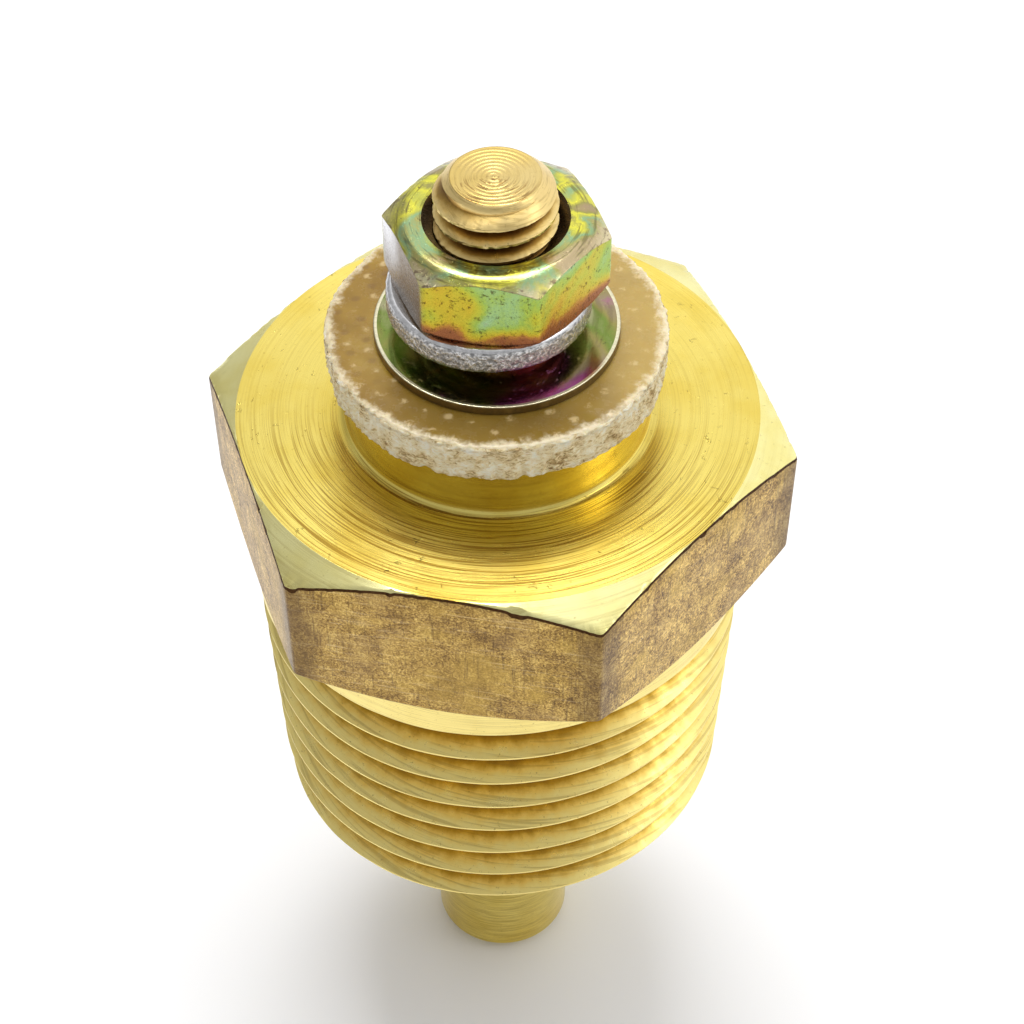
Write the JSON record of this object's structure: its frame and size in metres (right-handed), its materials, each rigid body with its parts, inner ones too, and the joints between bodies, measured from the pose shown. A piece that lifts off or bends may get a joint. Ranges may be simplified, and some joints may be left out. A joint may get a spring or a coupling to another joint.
{
  "type": "pressure switch",
  "caption": "Screw-in brass pressure switch: hexagon body, tapered pipe thread, slender inlet nose and an insulated stud terminal with nut and washers on top.",
  "frame": {"origin": "on the thread's axis at the underside of the hexagon, where the part stops against its port", "axes": "+Z along the axis towards the terminal; +X through a corner of the hexagon, so two wrench flats face +Y and -Y"},
  "size_m": [0.0254, 0.022, 0.0496],
  "materials": {
    "body_brass": "turned and sawn",
    "inner_brass": "turned",
    "terminal_brass": "rolled thread, turned tip",
    "bronze": "sintered",
    "rubber": "moulded",
    "steel": "stamped",
    "spring_steel": "drawn wire",
    "aluminium": "turned",
    "silver": "headed",
    "laminate_resin": "moulded",
    "fibre_laminate": "punched glass-fibre laminate",
    "yellow_zinc_washer": "zinc plated, yellow chromate, bright",
    "yellow_zinc_nut": "zinc plated, yellow iridescent chromate",
    "clear_zinc": "zinc plated, clear"
  },
  "bodies": {
    "housing": {"hex_body": "body_brass", "inlet_plug": "body_brass", "inlet_restrictor": "body_brass", "inlet_filter_screen": "bronze", "plug_seal_ring": "rubber", "diaphragm": "rubber", "diaphragm_clamp_ring": "steel", "calibration_spring": "spring_steel", "spring_seat": "inner_brass", "calibration_shim": "steel", "insulating_bush": "laminate_resin", "inner_insulating_washer": "laminate_resin", "stud_seal_ring": "rubber", "fixed_contact": "silver", "terminal_stud": "terminal_brass", "fibre_washer": "fibre_laminate", "flat_washer": "yellow_zinc_washer"},
    "plunger": {"plunger": "inner_brass", "piston_plate": "aluminium", "moving_contact": "silver"},
    "lock_washer": {"spring_lock_washer": "clear_zinc"},
    "nut": {"terminal_nut": "yellow_zinc_nut"}
  },
  "joints": [
    {"name": "plunger_lift", "type": "slide", "parent": "housing", "child": "plunger", "axis": [0, 0, 1], "range_m": [0, 0.0009], "stiffness_N_per_m": 1250, "deforming": ["calibration_spring", "diaphragm"]},
    {"name": "lock_washer_lift", "type": "slide", "parent": "housing", "child": "lock_washer", "axis": [0, 0, 1], "range_m": [0, 0.004]},
    {"name": "nut_spin", "type": "hinge", "parent": "lock_washer", "child": "nut", "pos_m": [0, 0, 0.0156], "axis": [0, 0, 1], "range_deg": [0, 1800]}
  ],
  "couplings": [
    {"joint": "nut_spin", "follows": "lock_washer_lift", "rad_per_m": 7854}
  ]
}
